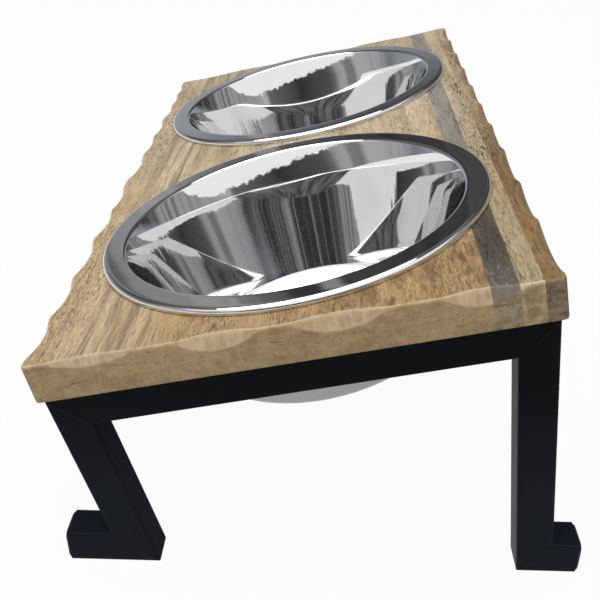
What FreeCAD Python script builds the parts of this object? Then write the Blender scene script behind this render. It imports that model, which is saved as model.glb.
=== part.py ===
import FreeCAD, Part
import os
import Sketcher

# Elevated pet bowl stand: a sloping wooden top with two steel bowls that lift out,
# carried by a welded square-tube frame under each end.
# X runs along the top, Y from the low front edge to the high back edge, Z up from the floor.

os.makedirs("parts", exist_ok=True)
doc = FreeCAD.newDocument("pet_bowl_stand")

sizes = {
    # wooden top
    "board_length": 510,
    "board_width": 264,
    "board_thick": 22,
    "board_tilt": 12,        # degrees, back edge raised
    "board_corner": 3,       # rounding of the four upright corners
    "low_height": 112.7,     # floor to the underside, over the front legs' outer edges
    "dark_strip": 13,        # widths of the three narrow staves at the back edge
    "light_strip": 11,
    "edge_strip": 10,
    # carved scoops along the top edges
    "long_scoops": 10,       # on each long edge
    "end_scoops": 4,         # on each end
    "long_scoop_chord": 47,
    "end_scoop_chord": 44,
    "scoop_top": 3.5,        # how far a scoop reaches across the top face
    "scoop_face": 8,         # how far it reaches down the side face
    # welded end frames
    "tube_side": 20,
    "tube_wall": 1.5,
    "tube_corner": 1.6,
    "end_inset": 3,          # frame's outer face behind the top's end
    "side_inset": 3,         # legs' outer edges inside the top's long edges
    "front_lean": 2.7,       # degrees, each leg's foot drawn in from square to the top
    "back_lean": 5.5,
    "front_foot": 52.5,      # foot lengths along the floor, end cap included
    "back_foot": 34.2,
    # plastic end caps of the feet
    "cap_flange": 2,
    "cap_plug": 9,
    "cap_gap": 0.2,
    "cap_edge": 1.2,
    # bowls, as large as the top has room for
    "rim_side_space": 14.5,  # from a rim to the top's long edges
    "rim_end_space": 13,     # from a rim to the top's end
    "rim_middle_space": 14,  # between the two rims
    "flange_width": 14,      # from the rim's outside to where the wall turns down
    "wall_spread": 19.5,     # how much wider the wall is at the mouth than at the base
    "bowl_depth": 85,        # base below the top's upper face
    "bowl_sheet": 1,
    "rim_height": 4.2,       # flange above the top's upper face
    "rim_roll": 3,           # outer radius of the rolled edge
    "mouth_bend": 1.6,
    "base_bend": 5,
    "bowl_gap": 1.5,         # round the bowl's wall in its hole
    # screws up through the rails
    "screw_spacing": 160,
    "screw_radius": 2,
    "screw_grip": 14,        # reach into the wood
    "screw_point": 1.4,
    "head_radius": 4,
    "head_height": 2.6,
    "head_round": 1.2,
    "recess_length": 4.4,
    "recess_width": 1,
    "recess_depth": 1.4,
    "screw_gap": 0.3,
}

dim = doc.addObject("Spreadsheet::Sheet", "dim")
for row, (alias, value) in enumerate(sizes.items(), start=1):
    dim.set(f"A{row}", alias)
    dim.set(f"B{row}", str(value))
    dim.setAlias(f"B{row}", alias)
doc.recompute()

# angles of the legs from upright; both lean their lower ends towards the back
frontAngle = "(dim.board_tilt + dim.front_lean)"
backAngle = "(dim.board_tilt - dim.back_lean)"

# lengths taken up by the mitres, along each tube
frontCorner = "(dim.tube_side / tan(45 - dim.front_lean / 2))"
backCorner = "(dim.tube_side / tan(45 - dim.back_lean / 2))"
frontHeel = f"(dim.tube_side / tan(45 - {frontAngle} / 2))"
backHeel = f"(dim.tube_side / tan(45 + {backAngle} / 2))"

# the frame's outline in the Y-Z plane
halfRail = "(dim.board_width / 2 - dim.side_inset)"
backHeight = f"(dim.low_height + 2 * {halfRail} * sin(dim.board_tilt))"
frontLeg = f"((dim.low_height + dim.tube_side * sin({frontAngle})) / cos({frontAngle}))"
backLeg = f"(({backHeight} - dim.tube_side * sin({backAngle})) / cos({backAngle}))"
backHeelFromMiddle = (f"({halfRail} * cos(dim.board_tilt) + {backLeg} * sin({backAngle})"
                      f" - dim.tube_side * cos({backAngle}))")

# the top's middle stands off the origin so that the whole stand is centred on it
frontReach = "(dim.board_width / 2 * cos(dim.board_tilt) + dim.board_thick * sin(dim.board_tilt))"
boardY = f"(({frontReach} - {backHeelFromMiddle} - dim.back_foot) / 2)"
boardZ = f"(dim.low_height + {halfRail} * sin(dim.board_tilt))"
frontCornerY = f"({boardY} - {halfRail} * cos(dim.board_tilt))"
frontHeelY = f"({frontCornerY} + {frontLeg} * sin({frontAngle}) + dim.tube_side * cos({frontAngle}))"
backHeelY = f"({boardY} + {backHeelFromMiddle})"
frameX = "(dim.board_length / 2 - dim.end_inset - dim.tube_side / 2)"

# the rims fill the top's width or its length, whichever has less room, and stand evenly from its ends
rimAcross = "(dim.board_width / 2 - dim.rim_side_space)"
rimAlong = "((dim.board_length - 2 * dim.rim_end_space - dim.rim_middle_space) / 4)"
bowlRim = f"min({rimAcross}; {rimAlong})"
bowlX = f"(dim.board_length / 2 - dim.rim_end_space - {bowlRim})"

# radii in the bowl's wall
bowlMouth = f"({bowlRim} - dim.flange_width)"
bowlBase = f"({bowlMouth} - dim.wall_spread)"
wallRun = "(dim.wall_spread / (dim.bowl_depth + dim.rim_height))"
wallAcross = f"(dim.bowl_sheet * sqrt(1 + {wallRun}^2))"
wallAtTop = f"({bowlMouth} - {wallRun} * dim.rim_height)"
holeRadius = f"({wallAtTop} + dim.bowl_gap)"

alongX = FreeCAD.Vector(1, 0, 0)
alongY = FreeCAD.Vector(0, 1, 0)
alongZ = FreeCAD.Vector(0, 0, 1)
tolerance = 0.001            # for telling edges apart by where they lie
cuts = []
subParts = []


def bind(obj, links):
    for prop, expression in links.items():
        obj.setExpression(prop, expression)


def size(expression):
    return float(dim.evalExpression(expression))


def place(obj, x, y, z, angle):
    obj.Placement = FreeCAD.Placement(FreeCAD.Vector(), FreeCAD.Rotation(alongX, 1))
    bind(obj, {"Placement.Base.x": x, "Placement.Base.y": y, "Placement.Base.z": z})
    bind(obj, {"Placement.Rotation.Angle": angle})


def newBody(label):
    body = doc.addObject("PartDesign::Body", label)
    body.Label = label
    body.AllowCompound = True
    return body


def newSketch(body, name, role):
    sketch = body.newObject("Sketcher::SketchObject", name)
    plane = next(item for item in body.Origin.OriginFeatures if item.Role == role)
    sketch.AttachmentSupport = (plane, [""])
    sketch.MapMode = "FlatFace"
    return sketch


def pin(sketch, item, point, x, y):
    for kind, expression in (("DistanceX", x), ("DistanceY", y)):
        constraint = Sketcher.Constraint(kind, -1, 1, item, point, size(expression))
        index = sketch.addConstraint(constraint)
        sketch.setExpression(f"Constraints[{index}]", expression)


def addPolygon(sketch, corners):
    first = sketch.GeometryCount
    count = len(corners)
    points = [FreeCAD.Vector(size(x), size(y), 0) for x, y in corners]
    for i in range(count):
        sketch.addGeometry(Part.LineSegment(points[i], points[(i + 1) % count]), False)
    for i, (x, y) in enumerate(corners):
        sketch.addConstraint(Sketcher.Constraint("Coincident", first + i, 2, first + (i + 1) % count, 1))
        pin(sketch, first + i, 1, x, y)


def addRectangle(sketch, x, y, width, height):
    signs = ((-1, -1), (1, -1), (1, 1), (-1, 1))
    addPolygon(sketch, [(f"{x} + {sx} * {width} / 2", f"{y} + {sy} * {height} / 2") for sx, sy in signs])


def addCircle(sketch, x, y, radius):
    centre = FreeCAD.Vector(size(x), size(y), 0)
    item = sketch.addGeometry(Part.Circle(centre, alongZ, size(radius)), False)
    pin(sketch, item, 3, x, y)
    index = sketch.addConstraint(Sketcher.Constraint("Radius", item, size(radius)))
    sketch.setExpression(f"Constraints[{index}]", radius)


def pad(body, sketch, length, symmetric=False, reverse=False):
    feature = body.newObject("PartDesign::Pad", sketch.Name + "_pad")
    feature.Profile = sketch
    feature.Reversed = reverse
    if symmetric:
        feature.SideType = "Symmetric"
    bind(feature, {"Length": length})
    doc.recompute()
    return feature


def pocket(body, sketch, length, symmetric=False):
    before = body.Tip
    feature = body.newObject("PartDesign::Pocket", sketch.Name + "_cut")
    feature.Profile = sketch
    feature.Reversed = True
    if symmetric:
        feature.SideType = "Symmetric"
    bind(feature, {"Length": length})
    doc.recompute()
    cuts.append((before, feature))
    return feature


def fillet(body, name, edges, radius):
    base = body.Tip
    feature = body.newObject("PartDesign::Fillet", name)
    feature.Base = (base, edges)
    bind(feature, {"Radius": radius})
    doc.recompute()
    return feature


def chamfer(body, name, edges, width):
    base = body.Tip
    feature = body.newObject("PartDesign::Chamfer", name)
    feature.Base = (base, edges)
    bind(feature, {"Size": width})
    doc.recompute()
    return feature


def edgesAlong(feature, direction):
    names = []
    for i, edge in enumerate(feature.Shape.Edges, start=1):
        if isinstance(edge.Curve, Part.Line) and abs(edge.Curve.Direction.dot(direction)) > 0.999:
            names.append(f"Edge{i}")
    return names


def circleEdges(feature, radius, height):
    names = []
    for i, edge in enumerate(feature.Shape.Edges, start=1):
        if not isinstance(edge.Curve, Part.Circle):
            continue
        misses = (edge.Curve.Radius - size(radius), edge.Curve.Center.z - size(height))
        if all(abs(miss) < tolerance for miss in misses):
            names.append(f"Edge{i}")
    return names


def keep(obj):
    subParts.append(obj)
    return obj


def carveScoops(body, name, outward, along, edge, span, count, chord):
    # a row of shallow round scoops across one top edge; each is a wide cylinder lying on the slope
    slope = outward * size("dim.scoop_face") + alongZ * size("dim.scoop_top")
    sketch = newSketch(body, name, "XY_Plane")
    turn = FreeCAD.Rotation(along, slope, along.cross(slope), "XYZ")
    sketch.AttachmentOffset = FreeCAD.Placement(FreeCAD.Vector(), turn)
    bind(sketch, {
        "AttachmentOffset.Base.x": f"{outward.x} * ({edge} - dim.scoop_top)",
        "AttachmentOffset.Base.y": f"{outward.y} * ({edge} - dim.scoop_top)",
        "AttachmentOffset.Base.z": "dim.board_thick",
    })
    depth = "(dim.scoop_top * dim.scoop_face / sqrt(dim.scoop_top^2 + dim.scoop_face^2))"
    radius = f"(({chord}^2 / 4 + {depth}^2) / (2 * {depth}))"
    run = f"{span} * (1 - 1 / {count})"
    addCircle(sketch, f"-{run} / 2", radius, radius)
    first = pocket(body, sketch, "4 * (dim.scoop_top + dim.scoop_face)", symmetric=True)
    row = body.newObject("PartDesign::LinearPattern", name + "_row")
    row.Originals = [first]
    row.Direction = (sketch, ["H_Axis"])
    bind(row, {"Length": run, "Occurrences": count})
    body.Tip = row
    doc.recompute()
    cuts.append((first, row))


def makeBlank():
    # the whole glued-up top, before it is told apart into its staves
    body = newBody("board_blank")
    outline = newSketch(body, "board_outline", "XY_Plane")
    addRectangle(outline, "0", "0", "dim.board_length", "dim.board_width")
    slab = pad(body, outline, "dim.board_thick")
    fillet(body, "board_corners", edgesAlong(slab, alongZ), "dim.board_corner")
    holes = newSketch(body, "bowl_holes", "XY_Plane")
    pilots = newSketch(body, "pilot_holes", "XY_Plane")
    for end in (-1, 1):
        addCircle(holes, f"{end} * {bowlX}", "0", holeRadius)
        for side in (-1, 1):
            addCircle(pilots, f"{end} * {frameX}", f"{side} * dim.screw_spacing / 2",
                      "dim.screw_radius + dim.screw_gap")
    pocket(body, holes, "dim.board_thick")
    pocket(body, pilots, "dim.screw_grip + dim.screw_gap")
    for sign in (-1, 1):
        carveScoops(body, "front_scoop" if sign < 0 else "back_scoop", alongY * sign, alongX * -sign,
                    "dim.board_width / 2", "dim.board_length", "dim.long_scoops", "dim.long_scoop_chord")
        carveScoops(body, "left_scoop" if sign < 0 else "right_scoop", alongX * sign, alongY * sign,
                    "dim.board_length / 2", "dim.board_width", "dim.end_scoops", "dim.end_scoop_chord")
    place(body, "0", boardY, boardZ, "dim.board_tilt")
    return body


def makeStave(blank, label, start, width):
    lane = doc.addObject("Part::Box", label + "_lane")
    bind(lane, {"Length": "dim.board_length", "Width": width, "Height": "dim.board_thick"})
    place(lane, "-dim.board_length / 2", f"{boardY} + ({start}) * cos(dim.board_tilt)",
          f"{boardZ} + ({start}) * sin(dim.board_tilt)", "dim.board_tilt")
    stave = doc.addObject("Part::Common", label)
    stave.Label = label
    stave.Base = blank
    stave.Tool = lane
    return keep(stave)


def makeTube(label, corners, axis, run):
    # a square tube with mitred ends, drawn in side view; its void is a narrower strip right through
    body = newBody(label)
    outline = newSketch(body, label + "_outline", "YZ_Plane")
    addPolygon(outline, corners)
    solid = pad(body, outline, "dim.tube_side", symmetric=True)
    fillet(body, label + "_edges", edgesAlong(solid, axis), "dim.tube_corner")
    void = newSketch(body, label + "_void", "YZ_Plane")
    bore = "dim.tube_side - 2 * dim.tube_wall"
    middle = f"({run}) / 2"
    half = "dim.tube_side / 2"
    long = f"({run} + 4 * dim.tube_side)"
    if axis is alongY:
        addRectangle(void, middle, half, long, f"({bore})")
    else:
        addRectangle(void, half, middle, f"({bore})", long)
    pocket(body, void, bore, symmetric=True)
    return keep(body)


def makeFrame(end, name):
    x = f"{end} * {frameX}"
    tube = "dim.tube_side"
    railRun = f"2 * {halfRail}"

    rail = makeTube(f"rail_{name}", [(frontCorner, "0"), (f"{railRun} - {backCorner}", "0"),
                                     (railRun, tube), ("0", tube)], alongY, railRun)
    holes = newSketch(rail, f"rail_{name}_holes", "XY_Plane")
    for side in (-1, 1):
        addCircle(holes, "0", f"{halfRail} + {side} * dim.screw_spacing / 2",
                  "dim.screw_radius + dim.screw_gap")
    pocket(rail, holes, tube)
    place(rail, x, f"{frontCornerY} + dim.tube_side * sin(dim.board_tilt)",
          "dim.low_height - dim.tube_side * cos(dim.board_tilt)", "dim.board_tilt")

    leg = makeTube(f"leg_front_{name}", [(tube, "0"), (tube, f"{frontLeg} - {frontCorner}"),
                                         ("0", frontLeg), ("0", frontHeel)], alongZ, frontLeg)
    place(leg, x, f"{frontCornerY} + {frontLeg} * sin({frontAngle})",
          f"-dim.tube_side * sin({frontAngle})", frontAngle)

    leg = makeTube(f"leg_back_{name}", [("0", "0"), (tube, backHeel), (tube, backLeg),
                                        ("0", f"{backLeg} - {backCorner}")], alongZ, backLeg)
    place(leg, x, backHeelY, "0", backAngle)

    footRun = "(dim.front_foot - dim.cap_flange)"
    foot = makeTube(f"foot_front_{name}", [("0", "0"), (footRun, "0"), (f"{footRun} - {frontHeel}", tube),
                                           ("0", tube)], alongY, footRun)
    place(foot, x, f"{frontHeelY} - {footRun}", "0", "0")
    cap = makeCap(f"foot_cap_front_{name}")
    place(cap, x, f"{frontHeelY} - {footRun}", "dim.tube_side / 2", "90")

    footRun = "(dim.back_foot - dim.cap_flange)"
    foot = makeTube(f"foot_back_{name}", [("0", "0"), (footRun, "0"), (footRun, tube),
                                          (backHeel, tube)], alongY, footRun)
    place(foot, x, backHeelY, "0", "0")
    cap = makeCap(f"foot_cap_back_{name}")
    place(cap, x, f"{backHeelY} + {footRun}", "dim.tube_side / 2", "-90")


def makeCap(label):
    # a flange flush with the tube and a plug that goes into its end
    body = newBody(label)
    face = newSketch(body, label + "_face", "XY_Plane")
    addRectangle(face, "0", "0", "dim.tube_side", "dim.tube_side")
    flange = pad(body, face, "dim.cap_flange")
    corners = fillet(body, label + "_corners", edgesAlong(flange, alongZ), "dim.tube_corner")
    rim = []
    for i, edge in enumerate(corners.Shape.Edges, start=1):
        if all(abs(vertex.Z - size("dim.cap_flange")) < tolerance for vertex in edge.Vertexes):
            rim.append(f"Edge{i}")
    fillet(body, label + "_rim", rim, "dim.cap_edge")
    stem = newSketch(body, label + "_stem", "XY_Plane")
    bore = "(dim.tube_side - 2 * dim.tube_wall - 2 * dim.cap_gap)"
    addRectangle(stem, "0", "0", bore, bore)
    pad(body, stem, "dim.cap_plug", reverse=True)
    return keep(body)


def makeBowl(end, name):
    # one pressed sheet: base, sloping wall, flat flange and a rolled edge that rests on the top
    body = newBody(f"bowl_{name}")
    section = newSketch(body, f"bowl_{name}_section", "XZ_Plane")
    under = "(dim.rim_height - dim.bowl_sheet)"
    insideEdge = f"({bowlRim} - dim.bowl_sheet)"
    insideBase = f"({bowlBase} - {wallAcross} + {wallRun} * dim.bowl_sheet)"
    insideMouth = f"({bowlMouth} - {wallAcross})"
    outsideMouth = f"({bowlMouth} - {wallRun} * dim.bowl_sheet)"
    addPolygon(section, [
        ("0", "-dim.bowl_depth"),
        (bowlBase, "-dim.bowl_depth"),
        (outsideMouth, under),
        (insideEdge, under),
        (insideEdge, "0"),
        (bowlRim, "0"),
        (bowlRim, "dim.rim_height"),
        (insideMouth, "dim.rim_height"),
        (insideBase, "dim.bowl_sheet - dim.bowl_depth"),
        ("0", "dim.bowl_sheet - dim.bowl_depth"),
    ])
    shell = body.newObject("PartDesign::Revolution", f"bowl_{name}_shell")
    shell.Profile = section
    shell.ReferenceAxis = (section, ["V_Axis"])
    shell.Angle = 360
    doc.recompute()
    bends = [
        ("base_out", bowlBase, "-dim.bowl_depth", "dim.base_bend + dim.bowl_sheet"),
        ("base_in", insideBase, "dim.bowl_sheet - dim.bowl_depth", "dim.base_bend"),
        ("mouth_under", outsideMouth, under, "dim.mouth_bend - dim.bowl_sheet"),
        ("mouth_top", insideMouth, "dim.rim_height", "dim.mouth_bend"),
        ("roll_under", insideEdge, under, "dim.rim_roll - dim.bowl_sheet"),
        ("roll_top", bowlRim, "dim.rim_height", "dim.rim_roll"),
    ]
    for bend, radius, height, bendRadius in bends:
        fillet(body, f"bowl_{name}_{bend}", circleEdges(body.Tip, radius, height), bendRadius)
    place(body, f"{end} * {bowlX}", f"{boardY} - dim.board_thick * sin(dim.board_tilt)",
          f"{boardZ} + dim.board_thick * cos(dim.board_tilt)", "dim.board_tilt")
    return keep(body)


def makeScrews():
    # four wood screws, up through both walls of the rails into the top
    body = newBody("rail_screws")
    seat = "dim.tube_side"
    heads = newSketch(body, "screw_heads", "XY_Plane")
    shanks = newSketch(body, "screw_shanks", "XY_Plane")
    recesses = newSketch(body, "screw_recesses", "XY_Plane")
    for sketch in (heads, shanks):
        bind(sketch, {"AttachmentOffset.Base.z": f"-{seat}"})
    bind(recesses, {"AttachmentOffset.Base.z": f"-{seat} - dim.head_height"})
    spots = [(f"{end} * {frameX}", f"{side} * dim.screw_spacing / 2") for end in (-1, 1) for side in (-1, 1)]
    for x, y in spots:
        addCircle(heads, x, y, "dim.head_radius")
        addCircle(shanks, x, y, "dim.screw_radius")
        addCross(recesses, x, y)
    pad(body, heads, "dim.head_height", reverse=True)
    pad(body, shanks, f"{seat} + dim.screw_grip")
    crowns = circleEdges(body.Tip, "dim.head_radius", f"-{seat} - dim.head_height")
    fillet(body, "screw_crowns", crowns, "dim.head_round")
    tips = circleEdges(body.Tip, "dim.screw_radius", "dim.screw_grip")
    chamfer(body, "screw_points", tips, "dim.screw_point")
    pocket(body, recesses, "dim.recess_depth")
    place(body, "0", boardY, boardZ, "dim.board_tilt")
    return keep(body)


def addCross(sketch, x, y):
    arm = "dim.recess_length / 2"
    half = "dim.recess_width / 2"
    quarter = [(half, half), (half, arm), (f"-{half}", arm)]
    corners = []
    for turn in range(4):
        for a, b in quarter:
            corners.append((f"{x} + {a}", f"{y} + {b}"))
        quarter = [(f"-({b})", f"{a}") for a, b in quarter]
    addPolygon(sketch, corners)


blank = makeBlank()
thirdStrip = "dim.board_width / 2 - dim.edge_strip"
secondStrip = f"{thirdStrip} - dim.light_strip"
firstStrip = f"{secondStrip} - dim.dark_strip"
makeStave(blank, "board_main", "-dim.board_width / 2", f"dim.board_width / 2 + {firstStrip}")
makeStave(blank, "board_dark_strip", firstStrip, "dim.dark_strip")
makeStave(blank, "board_light_strip", secondStrip, "dim.light_strip")
makeStave(blank, "board_edge_strip", thirdStrip, "dim.edge_strip")
for end, name in ((-1, "left"), (1, "right")):
    makeBowl(end, name)
    makeFrame(end, name)
makeScrews()
doc.recompute()

for obj in doc.Objects:
    if "Invalid" in obj.State or "Error" in obj.State:
        raise RuntimeError(f"{obj.Label} did not build: {obj.State}")
for before, after in cuts:
    if after.Shape.Volume > before.Shape.Volume - 0.1:
        raise RuntimeError(f"{after.Label} removes nothing")
for obj in subParts:
    if obj.Shape.isNull() or not obj.Shape.isValid():
        raise RuntimeError(f"{obj.Label} has no valid shape")
for obj in subParts:
    obj.Shape.exportStep(f"parts/{obj.Label}.step")
    print(f"{obj.Label}: {len(obj.Shape.Solids)} solid(s), {obj.Shape.Volume / 1000:.2f} cm3")
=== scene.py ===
import math
import bmesh
import bpy
from mathutils import Matrix, Vector


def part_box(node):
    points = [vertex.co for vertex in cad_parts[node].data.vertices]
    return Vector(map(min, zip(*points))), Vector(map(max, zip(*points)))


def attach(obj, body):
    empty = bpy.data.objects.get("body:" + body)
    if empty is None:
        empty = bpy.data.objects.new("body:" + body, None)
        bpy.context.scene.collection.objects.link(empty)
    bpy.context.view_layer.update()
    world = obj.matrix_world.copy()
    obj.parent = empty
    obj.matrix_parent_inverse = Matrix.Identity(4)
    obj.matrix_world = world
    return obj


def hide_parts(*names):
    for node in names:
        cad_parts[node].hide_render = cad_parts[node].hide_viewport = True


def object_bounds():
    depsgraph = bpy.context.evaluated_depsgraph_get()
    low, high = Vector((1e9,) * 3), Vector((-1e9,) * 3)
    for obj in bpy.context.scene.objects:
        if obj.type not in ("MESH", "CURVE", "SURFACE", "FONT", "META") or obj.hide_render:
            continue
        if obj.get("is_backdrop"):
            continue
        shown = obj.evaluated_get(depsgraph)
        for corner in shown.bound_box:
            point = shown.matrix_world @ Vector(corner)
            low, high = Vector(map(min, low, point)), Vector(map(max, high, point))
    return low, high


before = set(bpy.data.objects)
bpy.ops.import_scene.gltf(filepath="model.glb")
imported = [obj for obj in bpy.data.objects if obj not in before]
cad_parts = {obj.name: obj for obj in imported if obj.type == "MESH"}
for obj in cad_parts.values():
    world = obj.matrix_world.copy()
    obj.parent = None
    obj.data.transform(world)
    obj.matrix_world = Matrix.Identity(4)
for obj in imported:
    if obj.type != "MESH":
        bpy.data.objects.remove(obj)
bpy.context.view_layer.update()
scene = bpy.context.scene
mm = 0.001
print("frame loaded:", len(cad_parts), "nodes")


class Wire:
    # one socket of a node tree; sums on it add Math nodes
    def __init__(self, tree, socket=None):
        self.tree, self.socket = tree, socket

    def add(self, kind, settings=None, inputs=None, out=0):
        node = self.tree.nodes.new(kind)
        for name, value in (settings or {}).items():
            if name == "stops":
                ramp = node.color_ramp
                while len(ramp.elements) < len(value):
                    ramp.elements.new(0.5)
                for element, (place, colour) in zip(ramp.elements, value):
                    element.position = place
                    element.color = (*colour, 1)
            else:
                setattr(node, name, value)
        for name, value in (inputs or {}).items():
            if isinstance(value, Wire):
                self.tree.links.new(value.socket, node.inputs[name])
            elif value is not None:
                node.inputs[name].default_value = value
        return Wire(self.tree, node.outputs[out]) if len(node.outputs) else node

    def other(self, name):
        return Wire(self.tree, self.socket.node.outputs[name])

    def calc(self, operation, *values, clamp=False):
        settings = {"operation": operation, "use_clamp": clamp}
        return self.add("ShaderNodeMath", settings, dict(enumerate((self, *values))))

    def __add__(self, value):
        return self.calc("ADD", value)

    def __sub__(self, value):
        return self.calc("SUBTRACT", value)

    def __mul__(self, value):
        return self.calc("MULTIPLY", value)

    def __truediv__(self, value):
        return self.calc("DIVIDE", value)

    def __rsub__(self, value):
        return self.add("ShaderNodeMath", {"operation": "SUBTRACT"}, {0: value, 1: self})

    __radd__ = __add__
    __rmul__ = __mul__

    def ease(self, low, high, start=0.0, end=1.0):
        settings = {"interpolation_type": "SMOOTHSTEP"}
        inputs = {"Value": self, "From Min": low, "From Max": high, "To Min": start, "To Max": end}
        return self.add("ShaderNodeMapRange", settings, inputs)

    def mix(self, first, second):
        # self is the factor between two colours
        first = first if isinstance(first, Wire) else (*first, 1)
        second = second if isinstance(second, Wire) else (*second, 1)
        return self.add("ShaderNodeMix", {"data_type": "RGBA"}, {0: self, 6: first, 7: second}, out=2)

    def noise(self, scale, detail=3.0, rough=0.5, distortion=0.0):
        # self is the place; three scales stretch the pattern
        place = self.add("ShaderNodeVectorMath", {"operation": "MULTIPLY"}, {0: self, 1: scale})
        inputs = {"Vector": place, "Scale": 1.0, "Detail": detail, "Roughness": rough, "Distortion": distortion}
        return self.add("ShaderNodeTexNoise", None, inputs, "Fac")

    def axes(self):
        split = self.add("ShaderNodeSeparateXYZ", None, {0: self})
        return split, split.other("Y"), split.other("Z")


def newMaterial(name):
    material = bpy.data.materials.new(name)
    material.use_nodes = True
    material.node_tree.nodes.clear()
    return material, Wire(material.node_tree)


def closeMaterial(root, inputs, bump=None, bumpDistance=0.0002, bumpStrength=0.5):
    if bump is not None:
        inputs["Normal"] = root.add("ShaderNodeBump", None, {
            "Strength": bumpStrength, "Distance": bumpDistance, "Height": bump})
    surface = root.add("ShaderNodeBsdfPrincipled", None, inputs)
    root.add("ShaderNodeOutputMaterial", None, {"Surface": surface})


def paint(obj, material):
    obj.data.materials.clear()
    obj.data.materials.append(material)


def asObject(mesh, name, place=None, smooth=30):
    data = bpy.data.meshes.new(name)
    if place is not None:
        bmesh.ops.transform(mesh, matrix=place, verts=mesh.verts)
    mesh.to_mesh(data)
    mesh.free()
    data.set_sharp_from_angle(angle=math.radians(smooth))
    for face in data.polygons:
        face.use_smooth = True
    obj = bpy.data.objects.new(name, data)
    scene.collection.objects.link(obj)
    return obj


def joinRings(mesh, rings):
    for low, high in zip(rings, rings[1:]):
        for i in range(len(low)):
            j = (i + 1) % len(low)
            mesh.faces.new((low[i], low[j], high[j], high[i]))


def newTree(name, sockets):
    tree = bpy.data.node_groups.new(name, "GeometryNodeTree")
    for title, kind in sockets.items():
        tree.interface.new_socket(title, in_out="INPUT", socket_type="NodeSocket" + kind)
    tree.interface.new_socket("Geometry", in_out="OUTPUT", socket_type="NodeSocketGeometry")
    root = Wire(tree)
    return tree, root, root.add("NodeGroupInput")


def runTree(tree, values, name, smooth=30):
    # evaluates a tree on a blank object and keeps the result as a plain mesh
    host = bpy.data.objects.new(name + "_host", bpy.data.meshes.new(name + "_host"))
    scene.collection.objects.link(host)
    modifier = host.modifiers.new("nodes", "NODES")
    modifier.node_group = tree
    for item in tree.interface.items_tree:
        if item.in_out == "INPUT" and item.name in values:
            modifier[item.identifier] = values[item.name]
    bpy.context.view_layer.update()
    made = bpy.data.meshes.new_from_object(host.evaluated_get(bpy.context.evaluated_depsgraph_get()))
    bpy.data.objects.remove(host)
    mesh = bmesh.new()
    mesh.from_mesh(made)
    bmesh.ops.recalc_face_normals(mesh, faces=mesh.faces)
    obj = asObject(mesh, name, None, smooth)
    for material in made.materials:
        obj.data.materials.append(material)
    return obj


def pathObject(name, lines):
    # lines of points for a node tree to follow
    curve = bpy.data.curves.new(name, "CURVE")
    curve.dimensions = "3D"
    for spots in lines:
        spline = curve.splines.new("POLY")
        spline.points.add(len(spots) - 1)
        for point, spot in zip(spline.points, spots):
            point.co = (*spot, 1)
    path = bpy.data.objects.new(name, curve)
    scene.collection.objects.link(path)
    return path


# The wooden top
board = {
    "length": 510 * mm, "width": 264 * mm, "thick": 22 * mm, "corner": 3 * mm, "tilt": math.radians(12),
    "step": 1.6 * mm,             # along the outline
    "border": 12 * mm,            # carved band round the flat middle
    "eased": 0.6 * mm,            # worn sharp edges
    "soft": 0.28 * mm,            # rounding at both edges of a scoop
    "rubbed": 0.8 * mm,           # worn strip beside that rounding
    "flatRows": (9 * mm, 6.5 * mm),
    "cornerSteps": 6,
    "ridgeShifts": (-3.2, -1.6, 0, 1.6, 3.2),
    "scoopPower": 0.85,           # under 1 makes a scoop fuller than a parabola
    # how far a scoop of depth 1 reaches into the top and down the face, in millimetres
    "reach": {"right": (3.6, 8.0), "left": (3.6, 8.0), "front": (4.4, 7.2), "back": (5.6, 5.6), None: (3.6, 8.0)},
    "holeRadius": 104.08 * mm, "holeX": 124.5 * mm, "holeSides": 160,
    # centre, length and depth of each carved scoop, in millimetres along its edge
    "right": [(-96.7, 48, 0.62), (-32.4, 42, 1.0), (26.8, 47, 1.0), (94.8, 38, 0.95)],
    "left": [(-101, 46, 0.9), (-37, 44, 0.8), (30, 48, 1.0), (97, 42, 0.85)],
    "front": [(-228, 30, 0.8), (-194, 42, 0.9), (-158, 46, 1.0), (-112, 48, 1.05), (-68, 50, 0.95), (-20, 56, 1.1),
              (44, 46, 0.9), (84, 46, 1.0), (136, 52, 1.1), (184, 48, 1.1), (227, 41, 1.0)],
    "back": [(-226, 46, 0.9), (-178, 48, 1.0), (-130, 50, 0.9), (-80, 50, 1.05), (-32, 48, 0.9), (14, 48, 1.0),
             (62, 50, 0.9), (114, 52, 1.1), (166, 50, 1.1), (220, 60, 1.1)],
    # staves across the width: lower and upper edge, in millimetres from the middle
    "staves": {"board_main": (-132, 98), "board_dark_strip": (98, 111),
               "board_light_strip": (111, 122), "board_edge_strip": (122, 132)},
}
boardOrigin = Vector((0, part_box("board_edge_strip")[1].y - board["width"] / 2 * math.cos(board["tilt"]),
                      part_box("board_main")[0].z + board["width"] / 2 * math.sin(board["tilt"])))
boardPlace = Matrix.Translation(boardOrigin) @ Matrix.Rotation(board["tilt"], 4, "X")


def boardOutline():
    # points round the top, each with the edge it is on and its place along that edge
    halfX, halfY, corner = board["length"] / 2, board["width"] / 2, board["corner"]
    edges = [("front", Vector((-1, 0)), Vector((0, -1))), ("right", Vector((0, -1)), Vector((1, 0))),
             ("back", Vector((1, 0)), Vector((0, 1))), ("left", Vector((0, 1)), Vector((-1, 0)))]
    points = []
    for name, along, outward in edges:
        run = -along
        half, reach = (halfX, halfY) if name in ("front", "back") else (halfY, halfX)
        count = int(2 * (half - corner) / board["step"])
        for i in range(count + 1):
            s = -(half - corner) + 2 * (half - corner) * i / count
            spot = run * s + outward * reach
            points.append((spot, name, s * (run.x + run.y)))
        centre = run * (half - corner) + outward * (reach - corner)
        for i in range(1, board["cornerSteps"]):
            a = math.radians(90 * i / board["cornerSteps"])
            points.append((centre + (outward * math.cos(a) + run * math.sin(a)) * corner, None, 0))
    return points


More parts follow.
